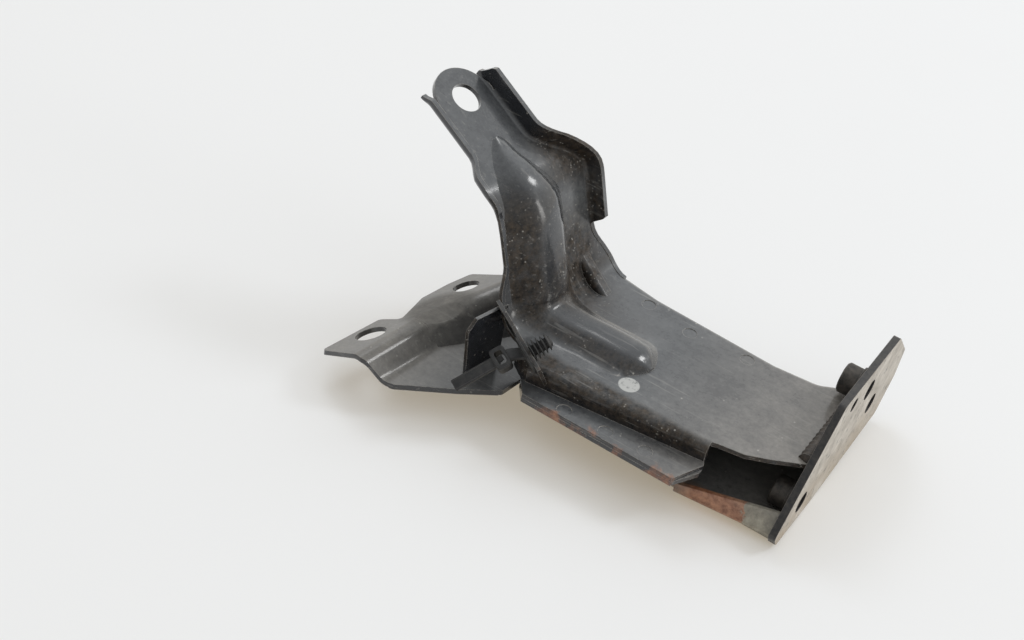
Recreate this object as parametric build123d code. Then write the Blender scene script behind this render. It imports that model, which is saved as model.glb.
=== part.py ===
from build123d import *
from math import cos, hypot, pi, radians, sin, tan
import os

# Frame: the origin is the centre of the upper bolt hole on the outer face of the end plate.
# +X leaves that face, +Z is square to the top plate, +Y points to the side with the long plate end.
# The arm and the foot are set out in their own frame (u, h, z): h runs along the bend lines, u is
# square to them, z is the height above the top plate. ARM_SKEW turns that frame from the end plate.

# Sheet and plate gauges
SHEET = 2.0
PLATE = 3.0

# Box: top plate, walls and weld flange
BOX_TOP = -8.0
BOX_BOTTOM = -36.0
BOX_BEND_R = 3.5
NEAR_WALL_START = (-99.7, -72.0)
NEAR_WALL_END = (-35.7, -64.0)
FLANGE_TOP = -16.0
FLANGE_EDGE_Y = -80.0
SKIRT_DEPTH = 14.0
TRAY_NEAR_Y = -67.0
TRAY_START_U = 12.0
TRAY_LAP = 6.0
TRAY_CORNER_R = 6.0
FLARE_R = 9.0
WINDOW_START_X = -42.3

# Arm
ARM_SKEW = 7.0
ARM_CORNER = (-119.0, 5.0)
LOWER_LEAN = 19.0
UPPER_LEAN = 62.0
LOWER_RISE = 55.0
BASE_BEND_R = 12.0
UPPER_BEND_R = 20.0
ARM_NEAR_H = -64.4
ARM_FAR_H = -9.8
TONGUE_FAR_H = -30.0
FAR_FLANGE = 8.0
FLANGE_START = 24.0
NEAR_FLANGE = 2.8
FLANGE_BEND_R = 4.0
DART_H = -16.5
EYE_RISE = 41.0
EYE_H = -46.0
EYE_OUTER_R = 13.8
EYE_HOLE_R = 6.25

# Foot
EAR_SLOPE = 30.0
RIDGE_U = -31.0
RIDGE_Z = -6.0
FOOT_FLOOR_Z = -15.0
FOOT_WALL_SLOPE = 44.0
FOOT_RIDGE_R = 6.0
SADDLE_R = 40.0
SADDLE_DEPTH = 2.2
NEAR_EAR_HOLE = (-42.9, -98.6)
NEAR_EAR_HOLE_R = 6.5
FAR_EAR_HOLE = (-36.8, -49.6)
FAR_EAR_HOLE_R = 5.75
FOOT_LIP = 2.6

# End plate
PLATE_CORNER_R = 3.0
BOLT_HOLE_R = 4.5
LOWER_BOLT = (-46.0, -26.6)
SIDE_HOLE = (13.3, -16.2)
SIDE_HOLE_R = 4.5
PILOT_HOLE = (-18.5, 4.6)
PILOT_HOLE_R = 3.0

# Weld nuts
NUT_FLANGE_R = 7.3
NUT_FLANGE_T = 1.8
NUT_BODY_R = 6.3
NUT_HEIGHT = 8.5
NUT_THREAD_R = 3.4

# Spot welds: shallow electrode marks
SPOT_R = 3.0
SPOT_DEPTH = 0.25
SPOT_WELDS = [(-94.2, -6.4), (-72.7, -10.4), (-47.3, -8.5)]
FLANGE_WELDS = [(-90.0, -76.4), (-72.0, -75.6), (-55.3, -74.3)]

# Weld beads
WELD_R = 3.4
WELD_START_Y = -45.0
WELD_END_Y = -10.0
WELD_RIPPLES = 11

# Clip plate and cable tie, in the arm frame
CLIP_SHEET = 1.5
CLIP_LEG_U = -3.0
CLIP_TOP = (1.4, -73.7, 15.1)
CLIP_EDGE = (0.919, -0.305, -0.26)
CLIP_NORMAL = (0.39, 0.78, 0.49)
CLIP_LENGTH = 28.7
TIE_AT = 19.0
TIE_BACK = 3.2
TIE_STUD_R = 3.0
TIE_DISC_R = 8.0
TIE_DISC_T = 1.2
TIE_STRAP_W = 4.8
TIE_STRAP_T = 1.3
TIE_STRAP_L = 15.5
TIE_NECK_L = 6.5
TIE_FIN_PITCH = 2.1


def arm_frame():
    return Location((ARM_CORNER[0], ARM_CORNER[1], BOX_TOP), (0, 0, -ARM_SKEW))


def polygon(points, radius=0.0):
    face = make_face(Polyline(*points, close=True))
    if radius > 0:
        face = fillet(face.vertices(), radius)
    return face


def plan(face, low, high):
    return extrude(Pos(0, 0, low) * face, high - low, dir=(0, 0, 1))


def across(face, start, end):
    """Prism of a (u, z) profile along h."""
    return extrude(Pos(0, start, 0) * (Plane.XZ * face), end - start, dir=(0, 1, 0))


def along(face, start, end):
    """Prism of an (h, z) outline along u."""
    return extrude(Pos(start, 0, 0) * (Plane.YZ * face), end - start, dir=(1, 0, 0))


def shifted(points, radii, distance):
    """Corners and bend radii of a bent line moved to its left."""
    heads = []
    for first, second in zip(points, points[1:]):
        size = hypot(second[0] - first[0], second[1] - first[1])
        heads.append(((second[0] - first[0]) / size, (second[1] - first[1]) / size))
    lefts = [(-v, u) for u, v in heads]
    moved = [(points[0][0] + distance * lefts[0][0], points[0][1] + distance * lefts[0][1])]
    bends = []
    for index in range(1, len(points) - 1):
        a = lefts[index - 1]
        b = lefts[index]
        scale = distance / (1 + a[0] * b[0] + a[1] * b[1])
        moved.append((points[index][0] + scale * (a[0] + b[0]), points[index][1] + scale * (a[1] + b[1])))
        turn = heads[index - 1][0] * heads[index][1] - heads[index - 1][1] * heads[index][0]
        bends.append(radii[index - 1] - distance if turn > 0 else radii[index - 1] + distance)
    moved.append((points[-1][0] + distance * lefts[-1][0], points[-1][1] + distance * lefts[-1][1]))
    return moved, bends


def band(points, radii, right, left):
    """Strip between two lines that run beside a bent line."""
    first_points, first_bends = shifted(points, radii, -right)
    second_points, second_bends = shifted(points, radii, left)
    first = FilletPolyline(*first_points, radius=first_bends)
    second = FilletPolyline(*second_points, radius=second_bends)
    return make_face(first + second + Line(first @ 0, second @ 0) + Line(first @ 1, second @ 1))


def upper_bend_corner():
    return (-LOWER_RISE * sin(radians(LOWER_LEAN)), LOWER_RISE * cos(radians(LOWER_LEAN)))


def side_line():
    """Side view of the seen face of the arm: top plate, lower arm, tongue."""
    bend = upper_bend_corner()
    lean = radians(UPPER_LEAN)
    reach = EYE_RISE + 1.5 * EYE_OUTER_R
    tip = (bend[0] - reach * sin(lean), bend[1] + reach * cos(lean))
    return [(TRAY_START_U, 0.0), (0.0, 0.0), bend, tip]


def tongue_plane():
    bend = upper_bend_corner()
    lean = radians(UPPER_LEAN)
    return Plane(origin=(bend[0], 0, bend[1]), x_dir=(0, 1, 0), z_dir=(cos(lean), 0, sin(lean)))


def path_plane(place):
    """Plane square to the seen face of the arm at a distance along it from the base bend corner."""
    bend = upper_bend_corner()
    lower = radians(LOWER_LEAN)
    upper = radians(UPPER_LEAN)
    base_run = BASE_BEND_R * tan(radians(90 - LOWER_LEAN) / 2)
    top_run = UPPER_BEND_R * tan((upper - lower) / 2)
    if place < -base_run:
        point = (-place, 0.0)
        angle = pi
    elif place < base_run:
        share = (place + base_run) / (2 * base_run)
        turn = share * radians(90 - LOWER_LEAN)
        point = (base_run - BASE_BEND_R * sin(turn), BASE_BEND_R * (1 - cos(turn)))
        angle = pi - turn
    elif place < LOWER_RISE - top_run:
        point = (-place * sin(lower), place * cos(lower))
        angle = pi / 2 + lower
    elif place < LOWER_RISE + top_run:
        share = (place - LOWER_RISE + top_run) / (2 * top_run)
        turn = share * (upper - lower)
        start = (bend[0] + top_run * sin(lower), bend[1] - top_run * cos(lower))
        centre = (start[0] - UPPER_BEND_R * cos(lower), start[1] - UPPER_BEND_R * sin(lower))
        point = (centre[0] + UPPER_BEND_R * cos(lower + turn), centre[1] + UPPER_BEND_R * sin(lower + turn))
        angle = pi / 2 + lower + turn
    else:
        run = place - LOWER_RISE
        point = (bend[0] - run * sin(upper), bend[1] + run * cos(upper))
        angle = pi / 2 + upper
    return Plane(origin=(point[0], 0, point[1]), x_dir=(0, 1, 0), z_dir=(cos(angle), 0, sin(angle)))


def blend(value, start, end):
    """Smooth step from 0 at start to 1 at end."""
    share = min(1.0, max(0.0, (value - start) / (end - start)))
    return share * share * (3 - 2 * share)


def bend_runs():
    """Distances along the arm at which the base bend ends and the upper bend starts and ends."""
    base = BASE_BEND_R * tan(radians(90 - LOWER_LEAN) / 2)
    upper = UPPER_BEND_R * tan(radians(UPPER_LEAN - LOWER_LEAN) / 2)
    return base, LOWER_RISE - upper, LOWER_RISE + upper


def steps(start, end, count):
    return [start + (end - start) * index / count for index in range(count + 1)]


def arm_edges(place):
    """Near and far edge and the two flange heights at a distance along the arm from the base corner."""
    near = ARM_NEAR_H - 4.6 * (1 - blend(place, 14.0, 27.0))
    near -= 4.8 * (blend(place, LOWER_RISE - 13, LOWER_RISE + 5) - blend(place, LOWER_RISE + 9, LOWER_RISE + 19))
    far = -1.0 * (1 - blend(place, -9.0, 2.0)) + ARM_FAR_H * blend(place, 3.0, FLANGE_START)
    far += (TONGUE_FAR_H - ARM_FAR_H) * blend(place, LOWER_RISE - 5, LOWER_RISE + 19)
    tip = 1 - blend(place, LOWER_RISE + EYE_RISE + 3, LOWER_RISE + EYE_RISE + 8)
    near_rise = 0.3 + (NEAR_FLANGE - 0.3) * blend(place, LOWER_RISE - 9, LOWER_RISE - 1) * tip
    far_rise = 0.3 + (FAR_FLANGE - 0.3) * blend(place, FLANGE_START, FLANGE_START + 4.5) * tip
    return near, far, near_rise, far_rise


def flange_side(edge, rise, side):
    """Edges of one flange from its root on the hidden face to its root on the seen face."""
    outer = min(FLANGE_BEND_R, 0.9 * rise + 0.5 * SHEET)
    inner = min(FLANGE_BEND_R - SHEET, 0.8 * rise)
    slant = 1 - cos(pi / 4)
    wall = edge - side * SHEET
    first = [(edge - side * outer, SHEET), (edge - side * outer * slant, SHEET - outer * slant), (edge, SHEET - outer)]
    last = [(wall, -inner), (wall - side * inner * slant, -inner * slant), (wall - side * inner, 0.0)]
    top = Polyline(first[2], (edge, -rise), (wall, -rise), last[0])
    return ThreePointArc(*first) + top + ThreePointArc(*last), first[0], last[2]


def arm_section(place):
    near, far, near_rise, far_rise = arm_edges(place)
    far_side, far_back, far_root = flange_side(far, far_rise, 1)
    near_side, near_back, near_root = flange_side(near, near_rise, -1)
    return path_plane(place) * make_face(far_side + near_side + Line(far_back, near_back) + Line(far_root, near_root))


def arm_sheet():
    """Web and both flanges of the arm, with the eye at the end of the tongue."""
    base, start, end = bend_runs()
    places = steps(-base, base, 7) + steps(base + 3, FLANGE_START, 4)
    places += steps(FLANGE_START + 1.1, FLANGE_START + 4.5, 3) + steps(FLANGE_START + 8, start - 2, 2)
    places += steps(start, end, 7) + steps(end + 2.5, LOWER_RISE + 19, 4)
    places += [LOWER_RISE + 30] + steps(LOWER_RISE + EYE_RISE + 3, LOWER_RISE + EYE_RISE + 8, 4)
    places += [LOWER_RISE + EYE_RISE + EYE_OUTER_R + 2]
    sheet = loft([arm_section(place) for place in places], ruled=True)
    near, far = arm_edges(LOWER_RISE + EYE_RISE)[:2]
    gap = Pos((near + far) / 2, EYE_RISE + 8) * Rectangle(far - near - 2 * SHEET, 20)
    gap += Pos((near + far) / 2, EYE_RISE + 18) * Rectangle(60, 20)
    ring = Pos(EYE_H, EYE_RISE) * Circle(EYE_OUTER_R)
    plane = tongue_plane()
    sheet -= extrude(plane * (gap - ring), 12, both=True)
    return sheet - extrude(plane * (Pos(EYE_H, EYE_RISE) * Circle(EYE_HOLE_R)), 12, both=True)


def rib_section(centre, half_width, height, depth):
    """Crowned section with a flat middle and soft shoulders."""
    crown = []
    for step in range(9):
        share = 1 - step / 4
        flank = min(1.0, (1 - abs(share)) / 0.7)
        crown.append((centre + half_width * share, -height * (0.4 * flank + 0.6 * blend(flank, 0, 1))))
    start = (centre + half_width, depth)
    end = (centre - half_width, depth)
    return make_face(Polyline(*crown) + Line(crown[0], start) + Line(start, end) + Line(end, crown[-1]))


def rib_size(place):
    """Centre h, half width and height of the rib at a distance along the arm from the base corner."""
    root = blend(place, -52.5, -42.0) ** 0.5
    point = (1 - blend(place, LOWER_RISE - 18, LOWER_RISE + 37)) * (1 - blend(place, LOWER_RISE + 18, LOWER_RISE + 24)) ** 0.5
    centre = -41.0 - 4.6 * blend(place, -50.0, -5.0)
    centre += 2.5 * blend(place, LOWER_RISE + 11, LOWER_RISE + 23) - 3.2 * blend(place, LOWER_RISE - 9, LOWER_RISE + 5)
    half_width = (14.2 + 3.6 * blend(place, -20.0, 6.0)) * root * point
    height = (6.0 + 3.6 * blend(place, -20.0, 16.0)) * root * point
    return centre, half_width, height


def rib(inset):
    base, start, end = bend_runs()
    places = [-51.5, -50.5, -49.0, -47.0, -44.5, -41.0, -34.0, -27.0, -20.0, -14.0] + steps(-base, base, 7)
    places += steps(base + 3.5, start - 4.0, 4) + steps(start, end, 7)
    places += [LOWER_RISE + run for run in (10.5, 13.0, 15.5, 18.0, 20.0, 21.5, 22.5, 23.2)]
    sections = []
    for place in places:
        centre, half_width, height = rib_size(place)
        if half_width - inset > 2.0 and height - inset > 0.5 * inset / SHEET:
            face = rib_section(centre, half_width - inset, height - inset, 0.8 + 1.3 * inset)
            sections.append(path_plane(place) * face)
    return loft(sections, ruled=True)


def ground(u, h):
    turn = radians(ARM_SKEW)
    return (ARM_CORNER[0] + u * cos(turn) + h * sin(turn), ARM_CORNER[1] - u * sin(turn) + h * cos(turn))


def far_edge():
    """Far edge of the top plate from the arm to the end plate."""
    return [(-93.0, 0.8), (-37.6, -1.9), (-19.3, 0.0), (-13.6, 3.8), (-PLATE, 6.0)]


def edges_at(shape, height):
    return [edge for edge in shape.edges() if abs(edge.bounding_box().min.Z - height) < 0.01
            and abs(edge.bounding_box().max.Z - height) < 0.01]


def near_line(inset):
    """Near wall line of the box moved towards the inside, as the points at its two ends."""
    run = NEAR_WALL_END[0] - NEAR_WALL_START[0]
    rise = NEAR_WALL_END[1] - NEAR_WALL_START[1]
    size = hypot(run, rise)
    shift = (-rise / size * inset, run / size * inset)
    return [(NEAR_WALL_START[0] + shift[0], NEAR_WALL_START[1] + shift[1]),
            (NEAR_WALL_END[0] + shift[0], NEAR_WALL_END[1] + shift[1])]


def box_outline():
    """Plan of the box walls, carried on past the end plate and under the arm."""
    slope = (NEAR_WALL_END[1] - NEAR_WALL_START[1]) / (NEAR_WALL_END[0] - NEAR_WALL_START[0])
    past = (8.0, NEAR_WALL_END[1] + slope * (8.0 - NEAR_WALL_END[0]))
    corner = (-110.0, NEAR_WALL_START[1] - slope * (110.0 + NEAR_WALL_START[0]))
    face = polygon([ground(-8.0, 0.9)] + far_edge() + [(8.0, 8.2), past, corner, ground(-8.0, -62.0)])
    flare = [spot for spot in face.vertices() if -45 < spot.X < -10 and spot.Y > -5]
    return fillet(flare, FLARE_R)


def box_top():
    """Top plate with its near wall, far skirt and near weld flange."""
    outer = box_outline()
    low = BOX_TOP - SKIRT_DEPTH
    block = plan(outer, low, BOX_TOP)
    block = fillet(edges_at(block, BOX_TOP), BOX_BEND_R)
    hollow = plan(offset(outer, -SHEET, kind=Kind.INTERSECTION), low - 1, BOX_TOP - SHEET)
    hollow = fillet(edges_at(hollow, BOX_TOP - SHEET), BOX_BEND_R - SHEET)
    shell = block - hollow
    window = [(-PLATE, -46.7), (-14.2, -53.7), (-23.0, -58.3), (-33.6, -60.3), (NEAR_WALL_END[0], -61.0)]
    keep = [ground(8.0, 4.0), (-93.0, 4.0), (-30.0, 4.0), (-PLATE, 14.0)] + window
    keep += [(NEAR_WALL_END[0], -90.0), (-124.0, -90.0), ground(8.0, -69.0)]
    shell &= plan(polygon(keep), low - 2, BOX_TOP + 1)
    shell -= Pos(-70, -60, low) * Box(150, 60, 2 * (low - FLANGE_TOP + SHEET) * -1)
    return shell + weld_flange(FLANGE_TOP - SHEET, near_line(0.8), -73.5)


def weld_flange(low, inner, back_y):
    points = [(-107.0, FLANGE_EDGE_Y), (-40.5, FLANGE_EDGE_Y), (-34.6, inner[1][1] - 2.5), inner[1], inner[0]]
    points += [(-109.5, inner[0][1] - 1.0), (-112.0, back_y)]
    return plan(polygon(points), low, low + SHEET)


def dart():
    """Pressed dart that stiffens the base bend."""
    lean = radians(LOWER_LEAN)
    outer = polygon([(12.5, -1.0), (-1.0, -1.0), (-13.5 * sin(lean) - 1.0, 13.5 * cos(lean))])
    inner = polygon([(9.5, -3.0), (-3.5, -3.0), (-11.0 * sin(lean) - 3.2, 11.0 * cos(lean))])
    rise = across(outer, DART_H - 3.5, DART_H + 3.5)
    crest = rise.faces().sort_by(SortBy.AREA)[-1]
    rise = fillet(crest.edges().filter_by(lambda edge: abs(edge.tangent_at(0.5).Y) < 0.5), 2.4)
    return rise, across(inner, DART_H - 1.3, DART_H + 1.3)


def arm_pressing():
    place = arm_frame()
    rise, hollow = dart()
    body = box_top() + place * arm_sheet()
    body += place * rib(0.0)
    body -= place * rib(SHEET)
    body += place * rise
    body -= place * hollow
    for spot in SPOT_WELDS:
        body -= Pos(spot[0], spot[1], BOX_TOP) * Cylinder(SPOT_R, 2 * SPOT_DEPTH)
    for spot in FLANGE_WELDS:
        body -= Pos(spot[0], spot[1], FLANGE_TOP) * Cylinder(SPOT_R, 2 * SPOT_DEPTH)
    return body


def tray_far_line():
    """Inner face of the far skirt, carried on in both directions."""
    first, second = far_edge()[:2]
    slope = (second[1] - first[1]) / (second[0] - first[0])
    drop = SHEET * hypot(1, slope)
    return [(x, first[1] - drop + slope * (x - first[0])) for x in (-104.0, 8.0)]


def tray_pressing():
    """Lower sheet of the box: floor, near wall with weld flange, end wall, lapped far wall."""
    far = tray_far_line()
    top = BOX_TOP - SKIRT_DEPTH + TRAY_LAP
    rim = [ground(TRAY_START_U, -4.2), far[0], far[1], (8.0, TRAY_NEAR_Y), (-107.0, TRAY_NEAR_Y)]
    rim += [ground(TRAY_START_U, -66.0)]
    outer = polygon(rim)
    block = plan(outer, BOX_BOTTOM, top)
    block = fillet(edges_at(block, BOX_BOTTOM), TRAY_CORNER_R)
    hollow = plan(offset(outer, -SHEET, kind=Kind.INTERSECTION), BOX_BOTTOM + SHEET, top + 1)
    hollow = fillet(edges_at(hollow, BOX_BOTTOM + SHEET), TRAY_CORNER_R - SHEET)
    tray = block - hollow
    flange_low = FLANGE_TOP - 2 * SHEET
    tray -= Pos(20 - PLATE, -30, -25) * Box(40, 120, 40)
    tray -= Pos(-60, -73.5, FLANGE_TOP) * Box(200, 20, 2 * SHEET)
    tray -= Pos(WINDOW_START_X + 30, -73.5, BOX_BOTTOM + 15 + SHEET) * Box(60, 25, 30)
    tray -= Pos(WINDOW_START_X + 30, -66.5, BOX_BOTTOM) * Box(60, 8, 12)
    tray -= arm_frame() * (Pos(TRAY_START_U, -40, 0.5 * (top - BOX_TOP) - 0.6) * Box(12, 60, 8))
    inner = [(WINDOW_START_X - 62.0, TRAY_NEAR_Y + 1), (-34.6, TRAY_NEAR_Y + 1)]
    tray += weld_flange(flange_low, inner, -73.5)
    return tray + leaning_wall()


def leaning_wall():
    """Near wall beside the window: it leans in towards the sloping edge of the end plate."""
    top = BOX_BOTTOM + SHEET
    start = band([(-60.0, BOX_BOTTOM), (TRAY_NEAR_Y, BOX_BOTTOM), (TRAY_NEAR_Y, -30.2)], [3.0], SHEET, 0)
    end = band([(-58.0, BOX_BOTTOM), (-63.6, BOX_BOTTOM), (-60.4, -23.5)], [3.0], SHEET, 0)
    first = Pos(WINDOW_START_X - 0.5, 0, 0) * (Plane.YZ * start)
    last = Pos(-PLATE, 0, 0) * (Plane.YZ * end)
    return loft([first, last], ruled=True)


def ear_height(u):
    return RIDGE_Z + (u - RIDGE_U) * tan(radians(EAR_SLOPE))


def foot_outline():
    near = [(-17.7, -111.2), (-31.0, -116.5), (-52.0, -116.0), (-50.3, -85.6), (-40.5, -84.0)]
    far = [(-47.8, -63.5), (-47.0, -48.5), (-44.3, -37.3), (-26.5, -36.7), (-14.0, -30.0)]
    back = [(-8.0, -10.0), (TRAY_START_U, -8.0), (TRAY_START_U, -81.0), (0.0, -94.0)]
    return polygon(near + far + back, 2.0)


def foot_hill():
    """Solid below the seen face of the foot."""
    run = (RIDGE_Z - FOOT_FLOOR_Z) / tan(radians(FOOT_WALL_SLOPE))
    start = (-62.0, ear_height(-62.0))
    ridge = (RIDGE_U, RIDGE_Z)
    toe = (RIDGE_U + run, FOOT_FLOOR_Z)
    near_line = FilletPolyline(start, ridge, toe, (30.0, FOOT_FLOOR_Z), radius=[FOOT_RIDGE_R, FOOT_RIDGE_R])
    near = make_face(near_line + Polyline((30.0, FOOT_FLOOR_Z), (30.0, -50.0), (-62.0, -50.0), start))
    low = (toe[0] + 1.5 * run, FOOT_FLOOR_Z - 1.5 * (RIDGE_Z - FOOT_FLOOR_Z))
    far_line = FilletPolyline(start, ridge, low, radius=1.5 * FOOT_RIDGE_R)
    far = make_face(far_line + Polyline(low, (low[0], -50.0), (-62.0, -50.0), start))
    hill = across(near, -125.0, -82.0)
    hill += extrude(Pos(0, -82.0, 0) * (Plane.XZ * far), 70.0, dir=(11.3, 35.4, 6.52))
    hill += Pos(-5, -50, FOOT_FLOOR_Z - 17.5) * Box(50, 120, 35)
    saddle = Pos(-50, -80.0, RIDGE_Z + SADDLE_R - SADDLE_DEPTH) * (Rot(0, 90, 0) * Cylinder(SADDLE_R, 60))
    return hill - saddle


def foot_pressing():
    hill = foot_hill()
    drop = SHEET / cos(radians(EAR_SLOPE))
    outline = foot_outline()
    sheet = (hill - Pos(0, 0, -drop) * hill) & plan(outline, -40, 20)
    rim = outline - offset(outline, -SHEET)
    lip = rim & polygon([(-19.5, -112.0), (-19.5, -120.0), (11.0, -100.0), (11.0, -80.0), (2.0, -80.0), (-2.0, -92.0)])
    sheet += plan(lip, FOOT_FLOOR_Z - FOOT_LIP, FOOT_FLOOR_Z - 0.5)
    tab = Pos(TRAY_START_U - SHEET / 2, -40, FOOT_FLOOR_Z - 4.5) * Box(SHEET, 50, 8)
    sheet += tab
    for hole, radius in ((NEAR_EAR_HOLE, NEAR_EAR_HOLE_R), (FAR_EAR_HOLE, FAR_EAR_HOLE_R)):
        centre = (hole[0], hole[1], ear_height(hole[0]))
        slope = radians(EAR_SLOPE)
        drill = Plane(origin=centre, z_dir=(-sin(slope), 0, cos(slope)))
        sheet -= extrude(drill * Circle(radius), 6, both=True)
    return arm_frame() * sheet


def clip_frame():
    return Plane(origin=CLIP_TOP, x_dir=CLIP_EDGE, z_dir=CLIP_NORMAL)


def clip_plate():
    """Bent clip that stands on the foot beside the arm and carries the cable tie."""
    leg_face = polygon([(-86.2, FOOT_FLOOR_Z), (-88.8, 8.5), (-84.5, 13.0), (-66.0, 11.0), (-66.0, FOOT_FLOOR_Z)])
    leg = along(leg_face, CLIP_LEG_U - CLIP_SHEET, CLIP_LEG_U)
    frame = clip_frame()
    blade_face = polygon([(-6.0, 1.5), (0.0, 0.0), (CLIP_LENGTH, 0.0), (CLIP_LENGTH, 16.0), (-6.0, 16.0)])
    blade = extrude(frame * blade_face, -CLIP_SHEET)
    blade -= across(band(side_line(), [BASE_BEND_R, UPPER_BEND_R], 0, 17), -69.0, 20)
    blade -= arm_frame().inverse() * plan(box_outline(), BOX_BOTTOM, BOX_TOP)
    blade -= extrude(frame * (Pos(TIE_AT, TIE_BACK) * Circle(TIE_STUD_R)), 5, both=True)
    clip = arm_frame() * (leg + blade)
    return clip.solids().sort_by(SortBy.VOLUME)[-1]


def cable_tie():
    """Moulded tie: disc, finned stud, ratchet head and strap."""
    frame = clip_frame()
    axis = Plane(origin=frame.from_local_coords((TIE_AT, TIE_BACK, -CLIP_SHEET)), x_dir=frame.x_dir, z_dir=frame.z_dir)
    disc = extrude(Circle(TIE_DISC_R), -TIE_DISC_T)
    disc = chamfer(disc.edges().sort_by(Axis.Z)[0], 0.5)
    fins = 4
    stud = extrude(Circle(TIE_STUD_R - 0.8), CLIP_SHEET + 0.8 + fins * TIE_FIN_PITCH)
    for step in range(fins):
        base = CLIP_SHEET + 0.4 + TIE_FIN_PITCH * step
        stud += Pos(0, 0, base + 0.8) * Cone(TIE_STUD_R + 1.2, TIE_STUD_R - 0.5, 1.6)
    low = -TIE_DISC_T - TIE_NECK_L
    neck = Pos(-1.0, -1.0, low / 2) * Box(TIE_STRAP_W, 3.0, -low)
    head = Pos(-1.0, 0, low - 3.4) * Box(8.4, 8.0, 7.0)
    head = fillet(head.edges().filter_by(Axis.Z), 1.2)
    slot = Pos(-1.0, 2.6, low - 3.4) * Box(5.2, 1.6, 9.0)
    strap = Pos(-1.0, -1.4, low - 6.5 - TIE_STRAP_L / 2) * Box(TIE_STRAP_W, TIE_STRAP_T, TIE_STRAP_L)
    tie = disc + stud + neck + (head - slot) + strap
    return arm_frame() * (axis.location * tie)


def end_plate():
    rim = [(23.0, 12.0), (-31.0, 12.0), (-67.0, -30.5), (-62.5, -37.0), (-30.0, -38.5), (33.0, -35.0), (42.5, -20.0)]
    rim += [(42.5, -6.0)]
    face = polygon(rim, PLATE_CORNER_R)
    for centre, radius in (((0, 0), BOLT_HOLE_R), (LOWER_BOLT, BOLT_HOLE_R), (SIDE_HOLE, SIDE_HOLE_R),
                           (PILOT_HOLE, PILOT_HOLE_R)):
        face -= Pos(centre[0], centre[1]) * Circle(radius)
    return extrude(Pos(-PLATE, 0, 0) * (Plane.YZ * face), PLATE, dir=(1, 0, 0))


def weld_nut():
    """Round flanged weld nut with its seat on X = 0 and the body towards -X."""
    body = Cylinder(NUT_FLANGE_R, NUT_FLANGE_T, align=(Align.CENTER, Align.CENTER, Align.MIN))
    body += Cylinder(NUT_BODY_R, NUT_HEIGHT, align=(Align.CENTER, Align.CENTER, Align.MIN))
    body = chamfer(body.edges().group_by(Axis.Z)[-1], 0.7)
    body -= Cylinder(NUT_THREAD_R, 3 * NUT_HEIGHT)
    body = chamfer(body.edges().group_by(Axis.Z)[0].sort_by(SortBy.RADIUS)[0], 0.7)
    return Rot(0, -90, 0) * body


def end_plate_welds():
    """Scalloped bead along the top plate, cut through at the plate into its seen and hidden runs."""
    crest = [(WELD_START_Y - 1.5, 0.0)]
    for step in range(2 * WELD_RIPPLES + 1):
        y = WELD_START_Y + step * (WELD_END_Y - WELD_START_Y) / (2 * WELD_RIPPLES)
        crest.append((y, WELD_R * (1 + 0.06 * cos(step * pi))))
    crest.append((WELD_END_Y + 1.5, 0.0))
    bead = revolve(polygon(crest), Axis.X, 360)
    return Pos(-PLATE - 0.8, 0, BOX_TOP - 0.6) * (Rot(0, 0, 90) * bead)


def main():
    os.makedirs("parts", exist_ok=True)
    arm = arm_pressing()
    tray = tray_pressing()
    plate = end_plate()
    foot = foot_pressing()
    clip = clip_plate() - arm - foot
    nut = weld_nut()
    welds = end_plate_welds() - plate - arm - tray
    upper_nut = Pos(-PLATE, 0, 0) * nut
    lower_nut = Pos(-PLATE, LOWER_BOLT[0], LOWER_BOLT[1]) * nut
    nodes = {
        "arm_pressing": arm,
        "tray_pressing": tray,
        "foot_pressing": foot,
        "clip_plate": clip,
        "cable_tie": cable_tie(),
        "end_plate": plate,
        "end_plate_welds": welds,
        "upper_weld_nut": upper_nut,
        "lower_weld_nut": lower_nut,
    }
    for name, shape in nodes.items():
        print(name, len(shape.solids()), shape.is_valid, round(shape.volume, 1))
        export_step(shape, "parts/" + name + ".step")


main()
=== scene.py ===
import math
import bpy
import numpy as np
from mathutils import Matrix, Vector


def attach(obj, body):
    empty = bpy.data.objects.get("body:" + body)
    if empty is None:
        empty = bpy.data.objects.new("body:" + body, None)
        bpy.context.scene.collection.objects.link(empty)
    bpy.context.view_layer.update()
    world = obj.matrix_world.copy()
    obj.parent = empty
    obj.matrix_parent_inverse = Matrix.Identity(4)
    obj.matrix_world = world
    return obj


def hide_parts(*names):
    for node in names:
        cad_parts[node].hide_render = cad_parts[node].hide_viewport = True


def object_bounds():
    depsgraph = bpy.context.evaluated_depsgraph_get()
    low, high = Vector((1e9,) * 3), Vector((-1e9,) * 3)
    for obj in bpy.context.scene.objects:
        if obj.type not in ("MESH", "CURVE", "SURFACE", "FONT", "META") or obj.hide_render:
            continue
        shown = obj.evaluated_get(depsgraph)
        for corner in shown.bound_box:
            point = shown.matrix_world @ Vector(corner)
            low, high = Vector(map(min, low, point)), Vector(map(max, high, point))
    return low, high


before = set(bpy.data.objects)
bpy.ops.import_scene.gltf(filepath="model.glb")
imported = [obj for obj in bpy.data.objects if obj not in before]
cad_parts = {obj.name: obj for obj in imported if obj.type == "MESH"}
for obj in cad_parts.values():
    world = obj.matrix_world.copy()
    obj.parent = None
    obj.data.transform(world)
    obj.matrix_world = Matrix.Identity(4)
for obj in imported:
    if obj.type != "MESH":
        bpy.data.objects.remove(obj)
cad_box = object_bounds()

# Arm pressing: the bent-up arm with its rib, flanges and eye, in one sheet with the top plate of the box.
# 2 mm steel sheet, pressed and folded, and painted black and semi-gloss together with the other sheets.
# Now dust lies where it looks up, brown dirt with painted shade darkens the bends and the walls that look
# near, and mud and rust lie on the low near corner.

def node(tree, kind, **sockets):
    """A shader node with its input sockets set by name."""
    made = tree.nodes.new(kind)
    for key, value in sockets.items():
        made.inputs[key].default_value = value
    return made


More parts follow.
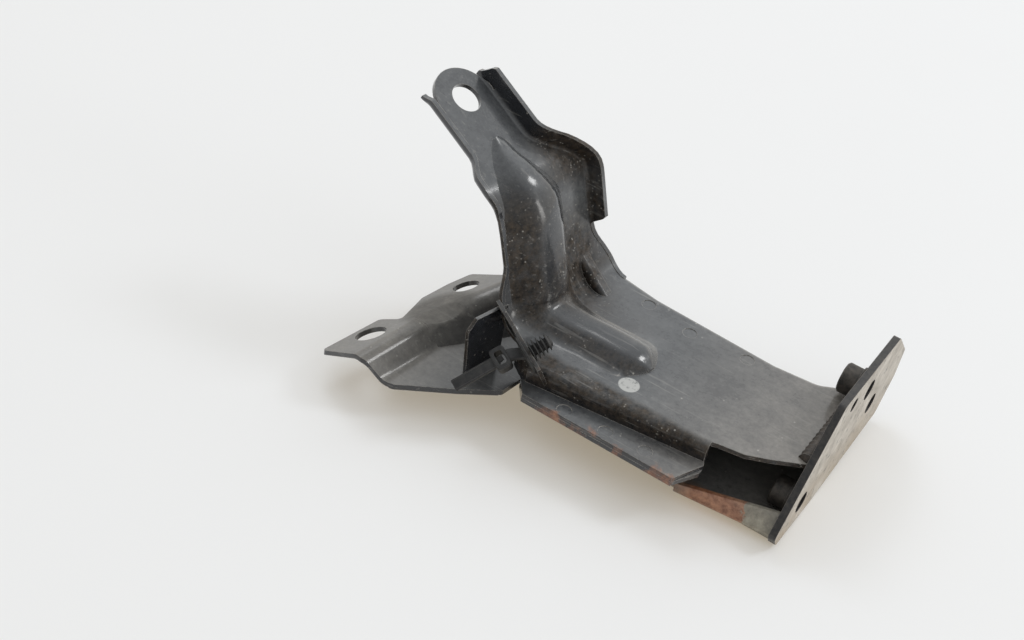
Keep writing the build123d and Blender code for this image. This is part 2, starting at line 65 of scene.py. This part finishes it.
def ramp(tree, source, low, high, dark=(0, 0, 0, 1), light=(1, 1, 1, 1)):
    """Two-stop colour ramp of a value: dark below low, light above high, straight between."""
    made = tree.nodes.new("ShaderNodeValToRGB")
    made.color_ramp.elements[0].position = low
    made.color_ramp.elements[0].color = dark
    made.color_ramp.elements[1].position = high
    made.color_ramp.elements[1].color = light
    tree.links.new(source, made.inputs["Fac"])
    return made.outputs["Color"]


def noise(tree, place, cells, detail=4.0, roughness=0.55, stretch=(1, 1, 1)):
    """Noise of that many cells per metre at a place; a stretch under 1 draws it out along that axis."""
    mapping = tree.nodes.new("ShaderNodeMapping")
    mapping.inputs["Scale"].default_value = stretch
    tree.links.new(place, mapping.inputs["Vector"])
    made = node(tree, "ShaderNodeTexNoise", Scale=cells, Detail=detail, Roughness=roughness)
    tree.links.new(mapping.outputs["Vector"], made.inputs["Vector"])
    return made.outputs["Fac"]


def patches(tree, place, cells, detail, roughness, low, high, dark=(0, 0, 0, 1), light=(1, 1, 1, 1)):
    """Noise cut into patches: dark where it is below low, light where it is above high."""
    return ramp(tree, noise(tree, place, cells, detail, roughness), low, high, dark, light)


def arithmetic(tree, operation, first, second, third=None, clamp=False):
    """One sum on sockets or plain numbers; clamp holds the result between 0 and 1."""
    made = tree.nodes.new("ShaderNodeMath")
    made.operation = operation
    made.use_clamp = clamp
    for index, value in enumerate((first, second, third)):
        if isinstance(value, (int, float)):
            made.inputs[index].default_value = value
        elif value is not None:
            tree.links.new(value, made.inputs[index])
    return made.outputs["Value"]


def times(tree, first, second, plus=None, clamp=False):
    """first * second, or first * second + plus."""
    return arithmetic(tree, "MULTIPLY" if plus is None else "MULTIPLY_ADD", first, second, plus, clamp)


def larger(tree, first, *others):
    """The largest of several values."""
    for other in others:
        first = arithmetic(tree, "MAXIMUM", first, other)
    return first


def weighted(tree, start, *shares, clamp=False):
    """start + the sum of mask * weight over the shares."""
    for mask, weight in shares[:-1]:
        start = times(tree, mask, weight, start)
    return times(tree, *shares[-1], start, clamp)


def slope(tree, coordinate, gain, offset):
    """Mask that rises from 0 to 1 along a coordinate in metres: coordinate * gain + offset, held there."""
    return times(tree, coordinate, gain, offset, clamp=True)


def spot(tree, place, centre, inner, outer):
    """1 within inner metres of a point, 0 beyond outer metres, an S-curve between."""
    gap = tree.nodes.new("ShaderNodeVectorMath")
    gap.operation = "DISTANCE"
    gap.inputs[1].default_value = centre
    tree.links.new(place, gap.inputs[0])
    made = tree.nodes.new("ShaderNodeMapRange")
    made.interpolation_type = "SMOOTHSTEP"
    made.inputs["From Min"].default_value = outer
    made.inputs["From Max"].default_value = inner
    tree.links.new(gap.outputs["Value"], made.inputs["Value"])
    return made.outputs["Result"]


def specks(tree, place, cells, size):
    """Round dots in that many cells per metre, kept only where a coarse noise is high."""
    made = node(tree, "ShaderNodeTexVoronoi", Scale=cells)
    tree.links.new(place, made.inputs["Vector"])
    few = noise(tree, place, cells * 0.22, 2.0)
    dots = arithmetic(tree, "SUBTRACT", 1.0, ramp(tree, made.outputs["Distance"], size * 0.5, size))
    return times(tree, dots, ramp(tree, few, 0.53, 0.60))


def worn_edges(tree, radius, low, high):
    """Mask that is 1 on outer edges, where the normal rounded over radius metres turns from the plain one.

    The mask is 1 - (rounded normal . plain normal), stretched from low..high to 0..1. The rounded
    normal comes with it.
    """
    bevel = node(tree, "ShaderNodeBevel", Radius=radius)
    bevel.samples = 6
    geometry = tree.nodes.new("ShaderNodeNewGeometry")
    dot = tree.nodes.new("ShaderNodeVectorMath")
    dot.operation = "DOT_PRODUCT"
    tree.links.new(bevel.outputs["Normal"], dot.inputs[0])
    tree.links.new(geometry.outputs["True Normal"], dot.inputs[1])
    made = tree.nodes.new("ShaderNodeMapRange")
    made.inputs["From Min"].default_value = low
    made.inputs["From Max"].default_value = high
    tree.links.new(arithmetic(tree, "SUBTRACT", 1.0, dot.outputs["Value"]), made.inputs["Value"])
    return made.outputs["Result"], bevel.outputs["Normal"]


def layer(tree, mask, under, over):
    """over where mask is 1, under where it is 0; either is a socket or a colour."""
    made = tree.nodes.new("ShaderNodeMix")
    made.data_type = "RGBA"
    tree.links.new(mask, made.inputs["Factor"])
    for socket, value in ((made.inputs["A"], under), (made.inputs["B"], over)):
        if isinstance(value, tuple):
            socket.default_value = value
        else:
            tree.links.new(value, socket)
    return made.outputs["Result"]


def relief(tree, shader, height, rounded, strength, depth):
    """Small relief: height 1 stands depth metres proud, laid over the rounded edges."""
    made = node(tree, "ShaderNodeBump", Strength=strength, Distance=depth)
    tree.links.new(height, made.inputs["Height"])
    tree.links.new(rounded, made.inputs["Normal"])
    tree.links.new(made.outputs["Normal"], shader.inputs["Normal"])


def parts(tree, vector):
    """The x, y and z of a vector as a dictionary of sockets."""
    made = tree.nodes.new("ShaderNodeSeparateXYZ")
    tree.links.new(vector, made.inputs[0])
    return {axis: made.outputs[axis.upper()] for axis in "xyz"}


def outward(tree):
    """The x, y and z of the direction a face looks in."""
    return parts(tree, tree.nodes.new("ShaderNodeNewGeometry").outputs["Normal"])


def new_material(name):
    """A new material, its node tree, its shader, and the place of a point on the part in metres."""
    material = bpy.data.materials.new(name)
    material.use_nodes = True
    tree = material.node_tree
    place = tree.nodes.new("ShaderNodeTexCoord").outputs["Object"]
    return material, tree, tree.nodes["Principled BSDF"], place


def dust_masks(tree, place, at, up, film, mottle):
    """Masks of the dust, of the foot side and of the end plate side.

    Dust is up * (0.17 + 0.22 film + 0.17 smear) + 0.10 side film, times (0.25 + 1.5 mottle). The foot
    side, the rib's end, the arm's web and the end plate side get more, and the rib is wiped.
    """
    smear = ramp(tree, noise(tree, place, 150.0, 5.0, 0.65, (0.35, 1.0, 1.0)), 0.25, 0.80)
    side_film = patches(tree, place, 85.0, 5.0, 0.6, 0.25, 0.85)
    dust = times(tree, up, weighted(tree, 0.17, (film, 0.22), (smear, 0.17)))
    dust = times(tree, side_film, 0.10, dust, clamp=True)
    dust = times(tree, dust, times(tree, mottle, 1.5, 0.25), clamp=True)

    foot_side = times(tree, slope(tree, at["x"], -25.0, -2.9), slope(tree, at["z"], -120.0, 0.4))
    dust = times(tree, times(tree, foot_side, up), 0.10, dust, clamp=True)
    wiped_rib = spot(tree, place, (-0.0935, -0.0385, -0.0005), 0.010, 0.030)
    dust = times(tree, dust, times(tree, wiped_rib, -0.62, 1.0))
    rib_end = spot(tree, place, (-0.0830, -0.0300, -0.0050), 0.003, 0.013)
    dust = times(tree, rib_end, times(tree, mottle, 0.55), dust, clamp=True)
    web = spot(tree, place, (-0.1310, -0.0120, 0.0260), 0.008, 0.018)
    dust = times(tree, web, times(tree, mottle, 0.75), dust, clamp=True)
    end_side = slope(tree, at["x"], 15.0, 1.125)
    dust = times(tree, times(tree, end_side, end_side), times(tree, up, 0.10), dust, clamp=True)
    return dust, foot_side, end_side


def dirt_and_shade_mask(tree, place, at, facing_y):
    """Where brown dirt and painted shade lie: the largest of both bends, the walls that look near and the
    near margin.
    """
    base_bend = spot(tree, place, (-0.1230, -0.0230, 0.0060), 0.009, 0.030)
    upper_bend = spot(tree, place, (-0.1440, -0.0080, 0.0500), 0.008, 0.024)
    # The walls that look near are darkened by the way they face: painted shade, with dirt.
    near_wall = ramp(tree, times(tree, facing_y, -1.0), 0.25, 0.70)
    near_wall = times(tree, near_wall, slope(tree, at["z"], 200.0, 3.6))
    near_wall = times(tree, near_wall, slope(tree, at["z"], -55.0, 2.75))
    margin = times(tree, slope(tree, at["y"], -330.0, -19.9), slope(tree, at["z"], 400.0, 6.5))
    margin = times(tree, margin, slope(tree, at["x"], 110.0, 13.0))
    walls = larger(tree, near_wall, times(tree, margin, 0.9))
    return larger(tree, base_bend, upper_bend, times(tree, walls, 0.95))


def mud_and_rust(tree, place, at):
    """Masks of mud and rust in the low near corner by the end plate, rust also along the near seam."""
    corner = times(tree, slope(tree, at["y"], -130.0, -7.3), slope(tree, at["z"], -260.0, -5.2))
    corner = times(tree, corner, slope(tree, at["x"], 90.0, 4.2))
    mud = times(tree, corner, patches(tree, place, 90.0, 5.0, 0.65, 0.22, 0.40))
    ragged = times(tree, noise(tree, place, 120.0, 6.0, 0.7), 2.4, times(tree, at["x"], -150.0, -2.6))
    flakes = times(tree, corner, ramp(tree, ragged, 0.9, 1.35))
    seam = times(tree, slope(tree, at["y"], -400.0, -30.4),
                 patches(tree, place, 75.0, 4.0, 0.6, 0.52, 0.62))
    seam = times(tree, seam, slope(tree, at["x"], 60.0, 6.5))
    return mud, larger(tree, flakes, times(tree, seam, 0.8))


def black_paint():
    """Black paint with what lies on it, laid one over another: each layer covers by its own mask.

    From the paint up: dust, brown dirt with painted shade, specks, scratches, bare edges, a dab of pale
    paint, mud, rust.
    """
    material, tree, shader, place = new_material("black_sheet_paint")
    at, facing = parts(tree, place), outward(tree)
    broad = noise(tree, place, 38.0, 6.0, 0.62)
    fine = noise(tree, place, 900.0, 3.0, 0.6)
    streak = noise(tree, place, 240.0, 4.0, 0.6, (0.2, 1.6, 1.0))
    mottle = noise(tree, place, 420.0, 5.0, 0.75)
    film = ramp(tree, broad, 0.20, 0.80)
    up = ramp(tree, facing["z"], 0.05, 0.97)
    colour = ramp(tree, fine, 0.3, 0.75, (0.007, 0.008, 0.011, 1), (0.017, 0.019, 0.025, 1))

    dust, foot_side, end_side = dust_masks(tree, place, at, up, film, mottle)
    dust_tone = layer(tree, end_side, (0.215, 0.222, 0.225, 1), (0.40, 0.37, 0.33, 1))
    dust_tone = layer(tree, foot_side, dust_tone, (0.34, 0.32, 0.285, 1))
    colour = layer(tree, dust, colour, dust_tone)

    clots = patches(tree, place, 170.0, 7.0, 0.8, 0.34, 0.62)
    # Brown dirt with painted shade: a dark brown tone in the bends, on the walls that look near and on the
    # near margin.
    dirt_and_shade = dirt_and_shade_mask(tree, place, at, facing["y"])
    dirt_and_shade = times(tree, dirt_and_shade, times(tree, clots, 0.55, 0.42), clamp=True)
    dirt_and_shade_tone = patches(tree, place, 420.0, 5.0, 0.7, 0.35, 0.72,
                        (0.005, 0.004, 0.003, 1), (0.095, 0.070, 0.048, 1))
    colour = layer(tree, dirt_and_shade, colour, dirt_and_shade_tone)

    dots = times(tree, specks(tree, place, 240.0, 0.12), 0.75)
    crumbs = times(tree, specks(tree, place, 620.0, 0.26), times(tree, dirt_and_shade, 0.75, 0.12))
    colour = layer(tree, larger(tree, dots, crumbs), colour, (0.40, 0.385, 0.35, 1))
    scratch = ramp(tree, noise(tree, place, 620.0, 2.0, 0.5, (0.06, 1.0, 1.0)), 0.63, 0.69)
    colour = layer(tree, times(tree, scratch, times(tree, film, 0.5)), colour, (0.30, 0.29, 0.27, 1))

    edge, rounded = worn_edges(tree, 0.00055, 0.04, 0.22)
    bare = times(tree, edge, patches(tree, place, 330.0, 5.0, 0.7, 0.36, 0.52))
    colour = layer(tree, bare, colour, (0.36, 0.34, 0.31, 1))
    dab = times(tree, spot(tree, place, (-0.0753, -0.0553, -0.0070), 0.0040, 0.0046),
                patches(tree, place, 520.0, 5.0, 0.7, 0.30, 0.46))
    colour = layer(tree, times(tree, dab, 0.92), colour, (0.50, 0.50, 0.48, 1))

    mud, rust = mud_and_rust(tree, place, at)
    mud_tone = patches(tree, place, 300.0, 5.0, 0.65, 0.3, 0.7,
                       (0.17, 0.15, 0.115, 1), (0.40, 0.37, 0.29, 1))
    colour = layer(tree, mud, colour, mud_tone)
    rust_tone = patches(tree, place, 420.0, 5.0, 0.7, 0.35, 0.7,
                        (0.17, 0.060, 0.028, 1), (0.46, 0.225, 0.125, 1))
    colour = layer(tree, rust, colour, rust_tone)
    tree.links.new(colour, shader.inputs["Base Color"])

    foot_top = times(tree, foot_side, times(tree, ramp(tree, facing["z"], 0.60, 0.85), 0.35))
    matt = larger(tree, foot_top, spot(tree, place, (-0.1589, -0.0610, -0.0153), 0.009, 0.024))
    thick = times(tree, dirt_and_shade, clots)
    rough = weighted(tree, 0.10, (broad, 0.16), (dust, 0.30), (thick, 0.35), (matt, 0.35),
                     (larger(tree, rust, mud, dab), 0.5), clamp=True)
    tree.links.new(rough, shader.inputs["Roughness"])
    shader.inputs["Specular IOR Level"].default_value = 0.22
    gloss = weighted(tree, 1.0, (dust, -0.4), (dirt_and_shade, -1.1), (matt, -0.9), clamp=True)
    tree.links.new(gloss, shader.inputs["Coat Weight"])
    shader.inputs["Coat Roughness"].default_value = 0.15
    height = weighted(tree, 0.0, (fine, 0.35), (streak, 0.5), (thick, 1.6), (rust, 1.5))
    relief(tree, shader, height, rounded, 0.35, 0.0001)
    return material


def smooth_skin(name, crease, material):
    """A pressing's surface with its doubled points merged, smooth across turns under crease degrees.

    Points are merged to a tenth of a micrometre. At each point the normals are averaged with the large
    faces first, so that flat sheet stays flat up to the bend.
    """
    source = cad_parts[name].data
    points = np.empty(len(source.vertices) * 3)
    source.vertices.foreach_get("co", points)
    loops = np.empty(len(source.loops), dtype=int)
    source.loops.foreach_get("vertex_index", loops)
    points, index = np.unique(np.round(points.reshape(-1, 3), 7), axis=0, return_inverse=True)
    corners = index.ravel()[loops].reshape(-1, 3)
    whole = (corners != np.roll(corners, -1, axis=1)).all(axis=1)
    mesh = bpy.data.meshes.new(name + "_skin")
    mesh.from_pydata(points.tolist(), [], corners[whole].tolist())
    mesh.shade_smooth()
    mesh.set_sharp_from_angle(angle=math.radians(crease))
    mesh.materials.append(material)
    skin = bpy.data.objects.new(name + "_skin", mesh)
    bpy.context.scene.collection.objects.link(skin)
    weigh = skin.modifiers.new("large_faces_first", "WEIGHTED_NORMAL")
    weigh.keep_sharp = True
    weigh.weight = 60
    return skin


paint = black_paint()
arm_crease = 33.0
arm = smooth_skin("arm_pressing", arm_crease, paint)
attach(arm, "root")
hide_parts("arm_pressing")

# Tray pressing: the lower sheet of the box, with its floor, near wall, end wall and far wall.
# 2 mm steel sheet, folded, lapped inside the skirt of the top plate and spot welded to its flange.

def dress(name, material):
    """Gives a CAD node one material."""
    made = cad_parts[name]
    if not len(made.material_slots):
        made.data.materials.append(material)
    for each in made.material_slots:
        each.material = material


dress("tray_pressing", paint)

# Foot pressing: the lower sheet in front of the arm, with a saddle between its two round ears.
# 2 mm steel sheet, pressed, with a hole punched in either ear, and painted with the rest.

foot_crease = 42.0
foot = smooth_skin("foot_pressing", foot_crease, paint)
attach(foot, "root")
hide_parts("foot_pressing")

# Clip plate: the small bent tab that stands on the foot beside the arm and carries the cable tie.
# 1.5 mm steel sheet, cut and bent, with a round hole for the stud of the tie, and painted with the rest.

dress("clip_plate", paint)

# End plate: the plate with four holes across the end of the box, 3 mm steel, cut, drilled and painted.
# Dust and wear have dulled its outer face to a pale grey, and beige mud has dried on its lower margin.

def dusty_plate():
    """Pale film on the face that looks along +X, black paint elsewhere, beige towards the lower edge."""
    material, tree, shader, place = new_material("dusty_end_plate")
    film = patches(tree, place, 110.0, 6.0, 0.65, 0.30, 0.66,
                   (0.33, 0.298, 0.255, 1), (0.58, 0.54, 0.485, 1))
    mud = times(tree, slope(tree, parts(tree, place)["z"], -45.0, -0.55),
                patches(tree, place, 60.0, 5.0, 0.6, 0.35, 0.6))
    film = layer(tree, mud, film, (0.40, 0.34, 0.27, 1))
    front = ramp(tree, outward(tree)["x"], 0.2, 0.75)
    cover = times(tree, front, patches(tree, place, 300.0, 5.0, 0.7, 0.28, 0.44))
    tone = ramp(tree, noise(tree, place, 700.0), 0.3, 0.75,
                (0.014, 0.014, 0.016, 1), (0.05, 0.045, 0.04, 1))
    colour = layer(tree, cover, tone, film)
    edge, rounded = worn_edges(tree, 0.0005, 0.04, 0.22)
    colour = layer(tree, times(tree, edge, 0.6), colour, (0.34, 0.31, 0.27, 1))
    tree.links.new(colour, shader.inputs["Base Color"])
    tree.links.new(times(tree, cover, 0.4, 0.42), shader.inputs["Roughness"])
    relief(tree, shader, noise(tree, place, 600.0, 5.0, 0.7), rounded, 0.5, 0.00012)
    return material


dress("end_plate", dusty_plate())

# Weld nuts: two round nuts with a flange, behind the two bolt holes of the end plate.
# Dull steel, welded to the back of the plate by the flange before the plate goes on the box.

def rough_steel(name, dark, light, cells):
    """Dull metal whose tone runs from dark to light by noise of that many cells per metre."""
    material, tree, shader, place = new_material(name)
    tone = patches(tree, place, cells, 5.0, 0.65, 0.34, 0.68, dark, light)
    edge, rounded = worn_edges(tree, 0.0004, 0.05, 0.25)
    tone = layer(tree, times(tree, edge, 0.5), tone, (0.30, 0.28, 0.25, 1))
    tree.links.new(tone, shader.inputs["Base Color"])
    tree.links.new(times(tree, noise(tree, place, cells * 2.0), 0.4, 0.3), shader.inputs["Roughness"])
    shader.inputs["Metallic"].default_value = 0.35
    relief(tree, shader, noise(tree, place, cells * 3.0, 5.0, 0.7), rounded, 0.6, 0.00015)
    return material


nut_steel = rough_steel("nut", (0.02, 0.019, 0.018, 1), (0.11, 0.095, 0.08, 1), 260.0)
dress("upper_weld_nut", nut_steel)
dress("lower_weld_nut", nut_steel)

# End plate welds: the rippled bead between the end plate and the top plate of the box.
# Weld metal under a thin coat of the paint, browned by heat and dirt.

bead_metal = rough_steel("bead", (0.018, 0.016, 0.015, 1), (0.085, 0.068, 0.055, 1), 350.0)
dress("end_plate_welds", bead_metal)

# Cable tie: a finned stud pushed through the hole of the clip plate, the disc under the plate, and the
# framed head and strap that hang from the disc. One moulding of black nylon with a fine grain, paler on
# its edges. All sizes are in millimetres, z along the stud and x across the strap, from the disc's seat.

def nylon():
    """Near black plastic: tone and roughness by noise, paler on worn edges, a fine grain as relief."""
    material, tree, shader, place = new_material("tie_nylon")
    tone = patches(tree, place, 420.0, 4.0, 0.6, 0.35, 0.75,
                   (0.008, 0.008, 0.009, 1), (0.035, 0.034, 0.032, 1))
    edge, rounded = worn_edges(tree, 0.0003, 0.05, 0.25)
    tone = layer(tree, times(tree, edge, 0.5), tone, (0.20, 0.195, 0.18, 1))
    tree.links.new(tone, shader.inputs["Base Color"])
    tree.links.new(times(tree, noise(tree, place, 800.0), 0.25, 0.38), shader.inputs["Roughness"])
    relief(tree, shader, noise(tree, place, 2500.0), rounded, 0.3, 0.00008)
    return material


def superellipse(count, half_x, half_y, power):
    """Outline at count equal turns: x = half_x sgn(cos) |cos|^(2/power), y the same with half_y and sin."""
    turn = np.linspace(0.0, 2 * np.pi, count, endpoint=False)
    cos, sin = np.cos(turn), np.sin(turn)
    return (half_x * np.sign(cos) * np.abs(cos) ** (2 / power),
            half_y * np.sign(sin) * np.abs(sin) ** (2 / power))


def stacked(*stations, count=36):
    """Closed solid through superellipse rings at stations (z, middle x, middle y, half x, half y, power).

    Quads join each ring to the next, and a fan of triangles from its middle closes either end.
    """
    stations = np.array(stations, float)
    level, middle_x, middle_y, half_x, half_y, power = stations.T[:, :, None]
    x, y = superellipse(count, half_x, half_y, power)
    points = np.stack([middle_x + x, middle_y + y, np.broadcast_to(level, x.shape)], 2).reshape(-1, 3)
    ring = np.arange(len(stations) - 1)[:, None] * count
    at = np.arange(count)
    after = (at + 1) % count
    sides = np.stack([ring + at, ring + after, ring + count + after, ring + count + at], 2).reshape(-1, 4)
    last = (len(stations) - 1) * count
    start_fan = np.stack([after, at, np.full(count, len(points))], 1)
    end_fan = np.stack([last + at, last + after, np.full(count, len(points) + 1)], 1)
    return np.concatenate([points, stations[[0, -1]][:, [1, 2, 0]]]), [sides, start_fan, end_fan]


def framed(middle, outer, inner, deep, power, bevel=0.35, square=0.86, count=48):
    """Rounded frame round an opening: six superellipse loops in x and z, joined in a closed round.

    They run from the outer face at square * deep behind the middle to as much before it, over the
    bevel to the front, through the opening to the back, and over the bevel again.
    """
    narrow = (outer[0] - bevel, outer[1] - bevel)
    loops = np.array([(*outer, -square * deep), (*outer, square * deep), (*narrow, deep),
                      (*inner, deep), (*inner, -deep), (*narrow, -deep)])
    half_x, half_z, level = loops.T[:, :, None]
    x, z = superellipse(count, half_x, half_z, power)
    points = np.stack([middle[0] + x, np.broadcast_to(middle[1] + level, x.shape), middle[2] + z], 2)
    ring = np.arange(len(loops))[:, None] * count
    following = np.roll(ring, -1, axis=0)
    at = np.arange(count)
    after = (at + 1) % count
    return points.reshape(-1, 3), [np.stack([ring + at, following + at, following + after, ring + after],
                                            2).reshape(-1, 4)]


disc = stacked((-1.2, 0, 0, 7.3, 7.3, 2), (-0.9, 0, 0, 7.9, 7.9, 2),
               (-0.1, 0, 0, 8.0, 8.0, 2), (0.0, 0, 0, 7.8, 7.8, 2))

fin_count, fin_pitch, first_fin = 5, 1.72, 1.9
fin_reach, fin_taper = 4.3, 0.22
stud_rings = [(-0.5, 0, 0, 2.2, 2.2, 2.0), (1.8, 0, 0, 2.2, 2.2, 2.0)]
for step in range(fin_count):
    root = first_fin + fin_pitch * step
    reach = fin_reach - fin_taper * step
    stud_rings += [(root, 0, 0, 2.0, 2.0, 2.4), (root + 0.1, 0, 0, reach - 0.3, reach, 2.6),
                   (root + 0.45, 0, 0, reach - 0.4, reach - 0.1, 2.6), (root + 1.0, 0, 0, 2.1, 2.2, 2.4)]
stud = stacked(*stud_rings, (10.3, 0, 0, 2.0, 2.0, 2.2), (10.7, 0, 0, 1.3, 1.3, 2.0))

neck = stacked((-7.2, -2.6, -1.6, 2.6, 1.5, 5), (-5.0, -2.4, -1.4, 2.5, 1.3, 5),
               (-3.0, -1.6, -0.9, 2.5, 1.3, 5), (-0.8, -0.6, -0.4, 2.6, 1.7, 5))
head = framed(middle=(-2.6, -1.6, -9.4), outer=(4.7, 3.1), inner=(2.9, 1.7), deep=2.4, power=5.0)
pawl = stacked((-11.4, -2.6, -1.3, 2.8, 1.2, 6), (-10.2, -2.6, -2.2, 1.2, 0.5, 5),
               (-8.4, -2.6, -2.9, 1.1, 0.4, 5))
strap_end, strap_start, strap_x, strap_y = -30.0, -11.5, -2.6, -2.0
strap = stacked((strap_end, strap_x, strap_y, 2.2, 0.5, 8),
                (strap_end + 0.2, strap_x, strap_y, 2.4, 0.6, 8),
                (strap_start, strap_x, strap_y, 2.4, 0.6, 8))
rims = [stacked((strap_end + 0.2, strap_x + offset, strap_y, 0.3, 0.8, 4),
                (strap_start, strap_x + offset, strap_y, 0.3, 0.8, 4)) for offset in (-2.1, 2.1)]

tie_points, tie_faces, before = [], [], 0
for shape, blocks in (disc, stud, neck, head, pawl, strap, *rims):
    tie_points.append(shape)
    for block in blocks:
        tie_faces += (before + block).tolist()
    before += len(shape)
tie_axes = np.array([[0.87605, -0.40867, -0.25597],
                     [0.01424, 0.55252, -0.83338],
                     [0.48201, 0.72644, 0.48985]])
disc_seat = np.array([-110.625, -75.408, -1.165])
tie_points = (np.concatenate(tie_points) @ tie_axes + disc_seat) / 1000.0

tie_crease = 38.0
moulding = bpy.data.meshes.new("tie_moulding")
moulding.from_pydata(tie_points.tolist(), [], tie_faces)
moulding.shade_smooth()
moulding.set_sharp_from_angle(angle=math.radians(tie_crease))
moulding.materials.append(nylon())
tie = bpy.data.objects.new("tie_moulding", moulding)
bpy.context.scene.collection.objects.link(tie)
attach(tie, "root")
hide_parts("cable_tie")

# Table: the pale matt sheet that the part stands on, level with the part's lowest point.
# It fills the picture and takes the shadow.

def table_top():
    """Nearly white matt surface with a faint warm glow of its own, so that the shadow on it stays light."""
    material, tree, shader, place = new_material("table")
    tone = ramp(tree, noise(tree, place, 3.0), 0.3, 0.7,
                (0.550, 0.595, 0.660, 1), (0.560, 0.605, 0.670, 1))
    tree.links.new(tone, shader.inputs["Base Color"])
    shader.inputs["Emission Color"].default_value = (0.284, 0.238, 0.168, 1)
    shader.inputs["Emission Strength"].default_value = 1.0
    shader.inputs["Roughness"].default_value = 0.9
    shader.inputs["Specular IOR Level"].default_value = 0.1
    return material


table_half, table_gap = 6.0, 0.0002
across, along = np.meshgrid((-table_half, table_half), (-table_half, table_half))
corners = np.stack([across.ravel(), along.ravel(), np.full(4, cad_box[0][2] - table_gap)], 1)
sheet = bpy.data.meshes.new("table")
sheet.from_pydata(corners.tolist(), [], [(0, 1, 3, 2)])
sheet.materials.append(table_top())
table = bpy.data.objects.new("table", sheet)
bpy.context.scene.collection.objects.link(table)

# Light: a pale room, brighter and cooler above and brighter on the far side, and three square lamps.
# The window stands high behind the part, the skylight high on the right, the doorway low on the right.

world = bpy.data.worlds.new("room")
bpy.context.scene.world = world
world.use_nodes = True
room = world.node_tree
sight = parts(room, room.nodes.new("ShaderNodeTexCoord").outputs["Generated"])
level = weighted(room, 0.65, (sight["z"], 0.22), (sight["y"], 0.36))
room.links.new(level, room.nodes["Background"].inputs["Strength"])
warmth = ramp(room, sight["z"], 0.0, 0.6, (1.0, 0.94, 0.85, 1), (0.96, 0.985, 1.0, 1))
room.links.new(warmth, room.nodes["Background"].inputs["Color"])


def placed(made, right, up, back, seat):
    """Puts an object in the scene at seat, turned so that it looks along -back, its sides right and up."""
    made.matrix_world = Matrix([[*row] for row in zip(right, up, back, seat)] + [[0, 0, 0, 1]])
    bpy.context.scene.collection.objects.link(made)
    return made


def lamp(name, watts, size, seat, target, colour=(1.0, 1.0, 1.0)):
    """Square lamp of that size at seat that looks at target: back = seat - target, right = up x back."""
    data = bpy.data.lights.new(name, "AREA")
    data.energy = watts
    data.size = size
    data.color = colour
    back = np.subtract(seat, target)
    back /= np.linalg.norm(back)
    right = np.cross((0, 0, 1), back)
    right /= np.linalg.norm(right)
    placed(bpy.data.objects.new(name, data), right, np.cross(back, right), back, seat)


lamp("window", watts=10.0, size=0.9, seat=(-1.35, 1.0, 1.95), target=(-0.09, -0.03, 0.0))
lamp("skylight", watts=7.5, size=0.46, seat=(0.96, 0.95, 1.39), target=(-0.14, -0.05, 0.05))
lamp("doorway", watts=2.2, size=0.40, seat=(1.34, 0.15, 0.30), target=(-0.14, -0.04, 0.04),
     colour=(1.0, 0.98, 0.95))

# Camera: where the photograph was taken from, a little over half a metre from the part.
# A standard 36 mm sensor behind a lens of about 53 mm, looking down on the near side.

camera = bpy.data.cameras.new("camera")
camera.lens = 52.734
camera.sensor_width = 36.0
camera.clip_start = 0.01
viewer = placed(bpy.data.objects.new("camera", camera), right=(0.82097, 0.55082, 0.15039),
                up=(-0.44958, 0.46122, 0.76495), back=(0.35199, -0.69561, 0.62628),
                seat=(0.07847, -0.46683, 0.36289))
bpy.context.scene.camera = viewer
bpy.context.scene.view_settings.view_transform = "Standard"
